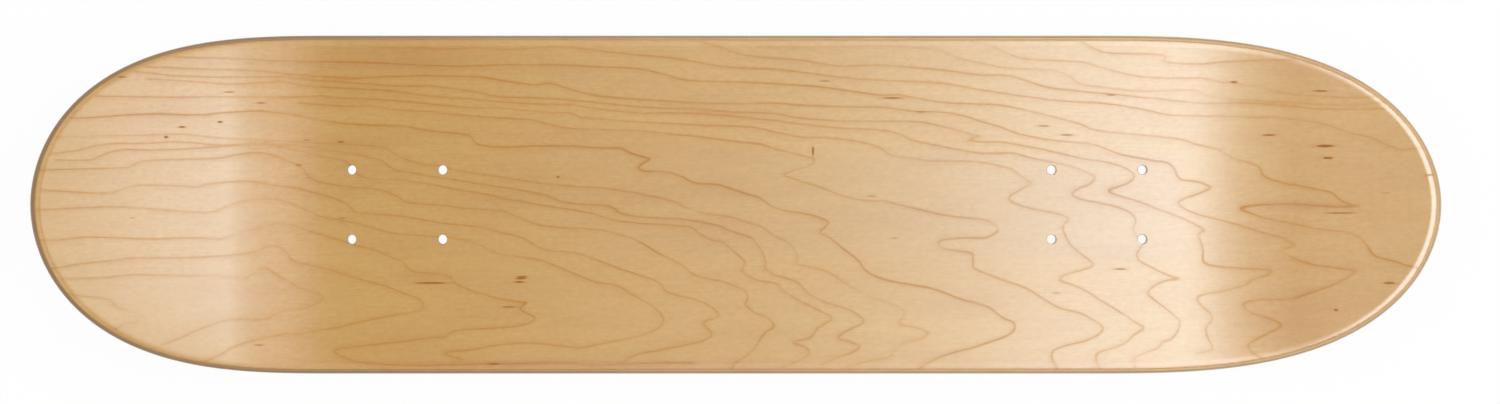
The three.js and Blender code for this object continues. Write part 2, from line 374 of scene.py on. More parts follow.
class Wire:
    """The output of one node of a finish. Sums written on wires add Math nodes to that finish."""

    def __init__(self, finish, socket):
        self.finish, self.socket = finish, socket

    def sum(self, operation, *terms):
        """A Math node of this operation on these terms."""
        return self.finish.node("Math", {"operation": operation}, dict(enumerate(terms)))

    def __add__(self, other):
        return self.sum("ADD", self, other)

    def __sub__(self, other):
        return self.sum("SUBTRACT", self, other)

    def __mul__(self, other):
        return self.sum("MULTIPLY", self, other)

    def __truediv__(self, other):
        return self.sum("DIVIDE", self, other)

    def __rsub__(self, other):
        return self.sum("SUBTRACT", other, self)

    def __rtruediv__(self, other):
        return self.sum("DIVIDE", other, self)

    __radd__, __rmul__ = __add__, __mul__

    def greater(self, other):
        """This one or the other, whichever is greater."""
        return self.sum("MAXIMUM", self, other)

    def between(self, low, high):
        """From low where this is 0 to high where it is 1."""
        return low + (high - low) * self


class Finish:
    """The nodes of one of the deck's surfaces, of the paper under it or of the sky over it."""

    def __init__(self, holder):
        self.holder = holder
        holder.use_nodes = True
        self.tree = holder.node_tree
        self.tree.nodes.clear()

    def node(self, kind, settings=(), sockets=(), output=0):
        """Adds a node: its type, its settings, then its sockets' values or links. Gives one output."""
        node = self.tree.nodes.new("ShaderNode" + kind)
        for name, value in dict(settings).items():
            setattr(node, name, value)
        for key, value in dict(sockets).items():
            if isinstance(value, Wire):
                self.tree.links.new(value.socket, node.inputs[key])
            else:
                node.inputs[key].default_value = value
        return Wire(self, node.outputs[output]) if node.outputs else None

    def bell(self, wire):
        """1 at zero and fading to either side, as e to the minus square."""
        return self.node("Math", {"operation": "EXPONENT"}, {0: -1 * (wire * wire)})

    def kept(self, name, output="Fac"):
        """What the piece keeps at each point under this name."""
        return self.node("Attribute", {"attribute_name": name}, output=output)

    def noise(self, place, sizes, detail, roughness):
        """Noise from 0 to 1 whose grains have these sizes along, across and up."""
        scale = tuple(1 / size for size in sizes)
        spot = self.node("VectorMath", {"operation": "MULTIPLY"}, {0: place, 1: scale})
        sockets = {"Vector": spot, "Scale": 1.0, "Detail": detail, "Roughness": roughness}
        return self.node("TexNoise", {}, sockets)

    def ramp(self, wire, low, high):
        """0 below low, 1 above high, and a smooth rise between; high may be the lower one."""
        settings = {"interpolation_type": "SMOOTHSTEP"}
        return self.node("MapRange", settings, {"Value": wire, "From Min": low, "From Max": high})

    def blend(self, factor, under, over, way="MIX"):
        """The colour under where the factor is 0, and the colour over it where it is 1."""
        settings = {"data_type": "RGBA", "blend_type": way}
        return self.node("Mix", settings, {0: factor, 6: under, 7: over}, output=2)

    def tinted(self, colour, tint, factor):
        """The colour as it is where the factor is 0, and multiplied by the tint where it is 1."""
        return self.blend(factor, colour, tint, "MULTIPLY")

    def lacquered(self, colour, roughness, relief, relief_strength, coat, coat_roughness):
        """The finished surface: wood or glue in relief, under a coat of clear lacquer."""
        bump = {"Strength": relief_strength, "Distance": RELIEF_DEPTH, "Height": relief}
        sockets = {
            "Base Color": colour,
            "Roughness": roughness,
            "Normal": self.node("Bump", {}, bump),
            "IOR": SOAKED_WOOD_IOR,
            "Coat Weight": coat,
            "Coat Roughness": coat_roughness,
            "Coat IOR": LACQUER_IOR,
        }
        shader = self.node("BsdfPrincipled", {}, sockets)
        self.node("OutputMaterial", {}, {"Surface": shader})
        return self.holder


LACQUER_IOR = 1.6
SOAKED_WOOD_IOR = 1.2  # lacquered wood reflects little under its lacquer
RELIEF_DEPTH = 0.05 * mm
MEAN_NOISE = 0.5  # of every noise, which runs from 0 to 1
PALE_MAPLE = paint(208, 160, 76)
WARM_MAPLE = paint(191, 140, 54)
FLECK_COLOUR = paint(158, 98, 22)
RING_TINT = (0.90, 0.77, 0.42, 1.0)
PORE_TINT = (0.80, 0.70, 0.56, 1.0)
SHADE_TINT = (0.88, 0.74, 0.56, 1.0)
# Painted sheen: paler and much bluer, as the gloss of the lacquer looks
PAINTED_SHEEN_TINT = (1.13, 1.17, 2.0, 1.0)
FLUSH_TINT = (0.98, 0.93, 0.80, 1.0)
# Each noise in the face maple: the size of its grains along, across and up, its detail and roughness
CLOUD = (90 * mm, 16 * mm, 90 * mm), 3.0, 0.55
MOTTLE = (4 * mm, 2.5 * mm, 4 * mm), 3.0, 0.6
FIBRE = (8 * mm, 0.5 * mm, 8 * mm), 3.0, 0.6
STREAK = (45 * mm, 1.6 * mm, 45 * mm), 3.0, 0.55
FLUSH = (50 * mm, 15 * mm, 50 * mm), 2.0, 0.5
PORES = (5 * mm, 0.3 * mm, 5 * mm), 1.0, 0.5
RING_WANDER = (14 * mm, 4 * mm, 14 * mm), 2.0, 0.5
RING_SWELL = (40 * mm, 12 * mm, 40 * mm), 2.0, 0.5
RING_WEAR = (60 * mm, 12 * mm, 60 * mm), 3.0, 0.5
FLECK_RIM = (2 * mm, 0.5 * mm, 2 * mm), 2.0, 0.5
# How far each noise shifts the veneer from pale to warm
CLOUD_WEIGHT = 0.9
MOTTLE_WEIGHT = 0.9
FIBRE_WEIGHT = 0.8
STREAK_WEIGHT = 0.45
FLUSH_RANGE = 0.4, 0.7  # of its noise, from none to all
FLUSH_STRENGTH = 0.6
PORE_RANGE = 0.62, 0.72
PORE_STRENGTH = 0.35
RING_SWAY = 0.8  # millimetres
RING_WIDTHS = 0.3, 0.8  # millimetres from the middle of a line to where it has faded
RING_WEAR_RANGE = 0.25, 0.62
RING_STRENGTHS = 0.38, 0.80  # where the line is faint and where it is bold
STAIN_STRENGTHS = 0.06, 0.22
FLECK_RAGGEDNESS = 0.8  # in a fleck's half lengths or half widths, as its range and its halo's are
FLECK_RANGE = 2.0, 1.2  # from none to all
HALO_RANGE = 3.4, 1.2
HALO_STRENGTH = 0.5
# Painted sheen: a paler, bluer band where the rounding of the edge begins, as the lacquer there catches
# the light
EDGE_SHEEN_STRENGTH = 0.6
EDGE_SHEEN_TURN = np.radians(9)  # of the rounding, over which the band of painted sheen begins
NOSE_SHEEN_TURNS = np.radians(11), np.radians(29)  # over which the band fades again at the nose
NOSE_SHEEN_PLACES = 250 * mm, 400 * mm  # between which that fading comes in
# How far fibres and mottle stand up in the relief, and how far a ring lies below them
FIBRE_RISE = 0.6
MOTTLE_RISE = 0.4
RING_SINK = 0.5
FACE_RELIEF = 0.12
FACE_ROUGHNESSES = 0.46, 0.56
FACE_COAT_ROUGHNESS = 0.25
RING_THIRST = 0.5  # of the lacquer that a ring's open pores drink in
FLECK_THIRST = 1.0


def face_maple():
    """Lacquered rotary-cut maple. A growth ring is a thin line where the kept distance to the nearest one
    passes zero, with a kept stain on its inner side. Flecks come from the kept offset to the nearest one,
    fibres and clouds from noise drawn out along the grain. A paler, bluer band of painted sheen lies where
    the rounding of the edge begins, and kept patches of painted sheen lighten the kicks. Rings and flecks
    drink in some lacquer."""
    wood = Finish(bpy.data.materials.new("lacquered_face_maple"))
    place = wood.node("TexCoord", output="Object")
    cloud = wood.noise(place, *CLOUD) - MEAN_NOISE
    mottle = wood.noise(place, *MOTTLE)
    fibre = wood.noise(place, *FIBRE)
    streak = wood.noise(place, *STREAK) - MEAN_NOISE
    flush = wood.ramp(wood.noise(place, *FLUSH), *FLUSH_RANGE)
    pore = wood.ramp(wood.noise(place, *PORES), *PORE_RANGE)

    wander = wood.noise(place, *RING_WANDER) - MEAN_NOISE
    distance = wood.kept("ring_distance") + wander * RING_SWAY
    width = wood.noise(place, *RING_SWELL).between(*RING_WIDTHS)
    worn = wood.ramp(wood.noise(place, *RING_WEAR), *RING_WEAR_RANGE)
    line = wood.bell(distance / width) * worn.between(*RING_STRENGTHS) * wood.kept("ring_bold")
    stain = wood.kept("ring_stain") * worn.between(*STAIN_STRENGTHS)

    tone = cloud * CLOUD_WEIGHT + (mottle - MEAN_NOISE) * MOTTLE_WEIGHT
    tone = tone + (fibre - MEAN_NOISE) * FIBRE_WEIGHT + streak * STREAK_WEIGHT
    colour = wood.blend(MEAN_NOISE + tone, PALE_MAPLE, WARM_MAPLE)
    colour = wood.tinted(colour, FLUSH_TINT, flush * FLUSH_STRENGTH)
    colour = wood.tinted(colour, PORE_TINT, pore * PORE_STRENGTH)
    colour = wood.tinted(colour, RING_TINT, stain)
    colour = wood.tinted(colour, RING_TINT, line)
    colour = wood.tinted(colour, SHADE_TINT, wood.kept("warmth"))

    # painted sheen on the rounding of the edge, which fades again at the nose
    turn = wood.kept("edge_turn")
    nose = wood.ramp(wood.node("SeparateXYZ", {}, {0: place}), *NOSE_SHEEN_PLACES)
    edge_sheen = wood.ramp(turn, 0.0, EDGE_SHEEN_TURN) * (1 - nose * wood.ramp(turn, *NOSE_SHEEN_TURNS))
    colour = wood.tinted(colour, PAINTED_SHEEN_TINT, wood.kept("painted_sheen") + edge_sheen * EDGE_SHEEN_STRENGTH)

    offset = wood.kept("fleck", "Vector")
    away = wood.node("VectorMath", {"operation": "LENGTH"}, {0: offset}, output="Value")
    away = away + wood.noise(place, *FLECK_RIM) * FLECK_RAGGEDNESS
    fleck = wood.ramp(away, *FLECK_RANGE) * wood.kept("fleck_darkness")
    halo = wood.ramp(away, *HALO_RANGE) * wood.kept("fleck_darkness") * HALO_STRENGTH
    colour = wood.tinted(colour, RING_TINT, halo)
    colour = wood.blend(fleck, colour, FLECK_COLOUR)

    relief = fibre * FIBRE_RISE + mottle * MOTTLE_RISE - line * RING_SINK
    coat = (1 - RING_THIRST * (line + stain + halo)) * (1 - FLECK_THIRST * fleck)
    roughness = fibre.between(*FACE_ROUGHNESSES)
    return wood.lacquered(colour, roughness, relief, FACE_RELIEF, coat, FACE_COAT_ROUGHNESS)


def height_of(name):
    """The height of a layer's underside in the laminate, as packed."""
    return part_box(name)[0].z


def dress(piece, node, finish):
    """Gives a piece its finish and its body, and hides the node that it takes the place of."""
    piece.data.materials.append(finish)
    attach(piece, "root")
    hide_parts(node)


STAIN_SHIFT = 0.9  # millimetres from a ring's line to the middle of its stain
STAIN_REACH = 2.0


def keep_rings(piece, number, outward, bold):
    """The distance in millimetres to the nearest ring, outward positive. Every second ring counts it the
    other way, so that it keeps its sign from one ring to the next and shows no line between the two."""
    store(piece, "ring_distance", np.where(number % 2, -outward, outward))
    store(piece, "ring_stain", bold * np.exp(-(((outward + STAIN_SHIFT) / STAIN_REACH) ** 2)))
    store(piece, "ring_bold", bold)


def keep_tone(piece, warmth, painted_sheen):
    """How much warmer the veneer is at each point than elsewhere, and how much painted sheen lightens it
    there.
    """
    store(piece, "warmth", warmth)
    store(piece, "painted_sheen", painted_sheen)


def keep_flecks(piece, offset, darkness):
    """The way to the nearest fleck, in its half lengths and half widths, and how dark that fleck is."""
    store(piece, "fleck", np.column_stack([offset, np.zeros(len(offset))]))
    store(piece, "fleck_darkness", darkness)


BOTTOM_RING_SPACING = 10.5  # millimetres, as the lengths of the waves are
# Waves that bend the rings: rise in rings, lengths along and across over two pi, and phase
BOTTOM_RING_WAVES = [(1.9, 150, 260, 0.4), (1.1, 83, -95, 2.1), (0.5, 41, 60, 4.0), (0.22, 19, -31, 1.2)]
LEAST_RING_SLOPE = 0.02  # rings to a millimetre


def waved_rings(x, y):
    """The number of the ring nearest to each point, and how far outward of it the point lies. A ring is
    where y over the spacing, plus a sine wave of x and y for each of the waves, is a whole number. What
    is over that number, divided by the slope of the sum, is the distance."""
    ring = y / BOTTOM_RING_SPACING
    across_slope, along_slope = np.full_like(y, 1 / BOTTOM_RING_SPACING), np.zeros_like(y)
    for rise, along, across, phase in BOTTOM_RING_WAVES:
        angle = x / along + y / across + phase
        ring = ring + rise * np.sin(angle)
        along_slope = along_slope + rise * np.cos(angle) / along
        across_slope = across_slope + rise * np.cos(angle) / across
    number = np.round(ring)
    return number, (ring - number) / np.maximum(np.hypot(along_slope, across_slope), LEAST_RING_SLOPE)


RIM_PITCH = 3 * mm  # of the mesh, along the rim
UNDERSIDE_PITCH = 3 * mm
COVERED_PITCH = 8 * mm  # across its upper face, which the first glue film covers
NO_FLECK = 9.0  # half lengths and half widths away, where none shows

FACE_MAPLE = face_maple()
low = height_of("bottom_face_veneer")
bottom_face = ply(
    "bottom_face_ply", low, VENEER_THICKNESS, RIM_PITCH, COVERED_PITCH, UNDERSIDE_PITCH,
    chamfers=(BOLT_HOLE_CHAMFER, 0),
)
x, y, _ = points_of(bottom_face).T / mm
keep_rings(bottom_face, *waved_rings(x, y), np.ones_like(x))
keep_tone(bottom_face, np.zeros_like(x), np.zeros_like(x))
keep_flecks(bottom_face, np.full((len(x), 2), NO_FLECK), np.zeros_like(x))
dress(bottom_face, "bottom_face_veneer", FACE_MAPLE)

# Glue films
# Six films of cured wood glue, a tenth of a millimetre thick, one between each two veneers. They show
# only as thin brown lines round the sanded edge and in the bolt holes.
DARK_GLUE = paint(132, 92, 56)
LIGHT_GLUE = paint(168, 124, 80)
GLUE_PATCH = (9 * mm, 9 * mm, 9 * mm), 2.0, 0.5
GLUE_PATCH_RANGE = 0.35, 0.7
GLUE_RELIEF = 0.1
GLUE_ROUGHNESSES = 0.5, 0.6
GLUE_COAT_ROUGHNESS = 0.3
EDGE_LACQUER = 0.7  # of the face's lacquer, on the sanded edges of the inner layers
HIDDEN_PITCH = 12 * mm  # of the mesh, across a layer that is covered on both sides


def cured_glue():
    """Brown glue whose squeeze-out line comes and goes along the edge."""
    glue = Finish(bpy.data.materials.new("cured_glue"))
    patch = glue.noise(glue.node("TexCoord", output="Object"), *GLUE_PATCH)
    colour = glue.blend(glue.ramp(patch, *GLUE_PATCH_RANGE), DARK_GLUE, LIGHT_GLUE)
    roughness = patch.between(*GLUE_ROUGHNESSES)
    return glue.lacquered(colour, roughness, patch, GLUE_RELIEF, EDGE_LACQUER, GLUE_COAT_ROUGHNESS)


def inner_layer(name, low, high, node, finish):
    """A layer whose faces are covered, so that only its rim needs a fine mesh."""
    dress(ply(name, low, high, RIM_PITCH, HIDDEN_PITCH, HIDDEN_PITCH), node, finish)


CURED_GLUE = cured_glue()
for number in range(1, len(VENEERS)):
    node = f"glue_film_{number}"
    high = height_of(VENEERS[number])
    inner_layer(f"glue_line_{number}", height_of(node), high, node, CURED_GLUE)

# Core veneers
# Three inner sheets with their grain along the deck. Only their edges show: long grain at the rails and
# end grain at the tips, which drinks more lacquer and turns darker.
CORE_COLOUR = paint(236, 202, 150)
# Painted shade: the edge darkens towards the nose, away from the light beyond the tail, from not at all to
# fully
NOSE_SHADE_PLACES = -240 * mm, 380 * mm
NOSE_SHADE_TINT = (0.52, 0.44, 0.34, 1.0)
STREAK_TINT = (0.84, 0.77, 0.66, 1.0)
END_PORE_TINT = (0.66, 0.56, 0.44, 1.0)
END_GRAIN_TINT = (0.86, 0.80, 0.72, 1.0)
PATCH_TINT = (0.86, 0.80, 0.72, 1.0)
PATCH_STRENGTH = 0.5
SOAK_TINT = (0.66, 0.54, 0.42, 1.0)
SOAK_STRENGTH = 0.6
# Each noise in the edge: the size of its grains along, across and up, its detail and roughness
EDGE_STREAK = (14 * mm, 14 * mm, 0.18 * mm), 3.0, 0.6
END_PORES = (0.35 * mm, 0.35 * mm, 0.35 * mm), 1.0, 0.5
EDGE_PATCH = (22 * mm, 22 * mm, 4 * mm), 2.0, 0.5
EDGE_STREAK_RANGE = 0.3, 0.75
END_PORE_RANGE = 0.55, 0.68
EDGE_PATCH_RANGE = 0.35, 0.7
MIDDLE_HEIGHT = 0.5  # of the layer's
SOAK_RANGE = 0.36, 0.5  # from that middle
EDGE_RELIEF = 0.25
EDGE_ROUGHNESSES = 0.52, 0.64
EDGE_COAT_ROUGHNESS = 0.32


def edge_maple(name, colour, grain_across):
    """Sanded ply edge. Along the grain it shows long streaks, across it fine pores; a soak of glue
    darkens it near each film. The kept turn of the rim tells one from the other."""
    wood = Finish(bpy.data.materials.new(name))
    place = wood.node("TexCoord", output="Object")
    turn = wood.kept("tip_turn")
    height = wood.kept("edge_height")
    end_grain = 1 - turn if grain_across else turn
    streak = wood.noise(place, *EDGE_STREAK)
    pores = wood.noise(place, *END_PORES)
    patch = wood.ramp(wood.noise(place, *EDGE_PATCH), *EDGE_PATCH_RANGE)
    from_middle = wood.node("Math", {"operation": "ABSOLUTE"}, {0: height - MIDDLE_HEIGHT})
    soak = wood.ramp(from_middle, *SOAK_RANGE)
    along = wood.node("SeparateXYZ", {}, {0: place})

    sides = wood.tinted(colour, STREAK_TINT, wood.ramp(streak, *EDGE_STREAK_RANGE))
    ends = wood.tinted(colour, END_PORE_TINT, wood.ramp(pores, *END_PORE_RANGE))
    ends = wood.tinted(ends, END_GRAIN_TINT, 1.0)
    shade = wood.blend(end_grain, sides, ends)
    shade = wood.tinted(shade, PATCH_TINT, patch * PATCH_STRENGTH)
    shade = wood.tinted(shade, SOAK_TINT, soak * SOAK_STRENGTH)
    # painted shade, darker towards the nose
    shade = wood.tinted(shade, NOSE_SHADE_TINT, wood.ramp(along, *NOSE_SHADE_PLACES))
    relief = streak * (1 - end_grain) + pores * end_grain
    roughness = streak.between(*EDGE_ROUGHNESSES)
    return wood.lacquered(shade, roughness, relief, EDGE_RELIEF, EDGE_LACQUER, EDGE_COAT_ROUGHNESS)


def inner_ply(node, finish):
    """An inner veneer in the place of its node."""
    low = height_of(node)
    inner_layer(node.replace("veneer", "ply"), low, low + VENEER_THICKNESS, node, finish)


CORE_MAPLE = edge_maple("core_edge_maple", CORE_COLOUR, grain_across=False)
for node in ("bottom_core_veneer", "middle_core_veneer", "top_core_veneer"):
    inner_ply(node, CORE_MAPLE)

# Crossband veneers
# Two inner sheets laid with their grain across the deck, which stiffen it from rail to rail. Their end
# grain shows at the rails, so they read as two darker stripes of the edge.
CROSSBAND_COLOUR = paint(218, 174, 118)

CROSSBAND_MAPLE = edge_maple("crossband_edge_maple", CROSSBAND_COLOUR, grain_across=True)
for node in ("lower_crossband_veneer", "upper_crossband_veneer"):
    inner_ply(node, CROSSBAND_MAPLE)

# Top face veneer
# The last sheet, the clear maple that the rider stands on. A lathe peels it off the log, so the growth
# rings cross it as nested tongues whose tips waver; here and there it has a short brown fleck.
PHOTO_WIDTH = 1500
PHOTO_HEIGHT = 404
PIXEL = 0.594 * mm  # one pixel of the picture, at the height of the top face
EYE_HEIGHT = 3000 * mm  # above the top face
EYE_X = -1.78 * mm  # the middle of the picture, from the middle of the trucks
EYE_Y = -1.55 * mm


def in_picture(points):
    """Where the picture's camera sees these points, in pixels: +X runs left in it and +Y down."""
    nearer = EYE_HEIGHT / (EYE_HEIGHT + THICKNESS - points[:, 2])
    across = PHOTO_WIDTH / 2 - (points[:, 0] - EYE_X) * nearer / PIXEL
    down = PHOTO_HEIGHT / 2 + (points[:, 1] - EYE_Y) * nearer / PIXEL
    return np.stack([across, down], axis=1)


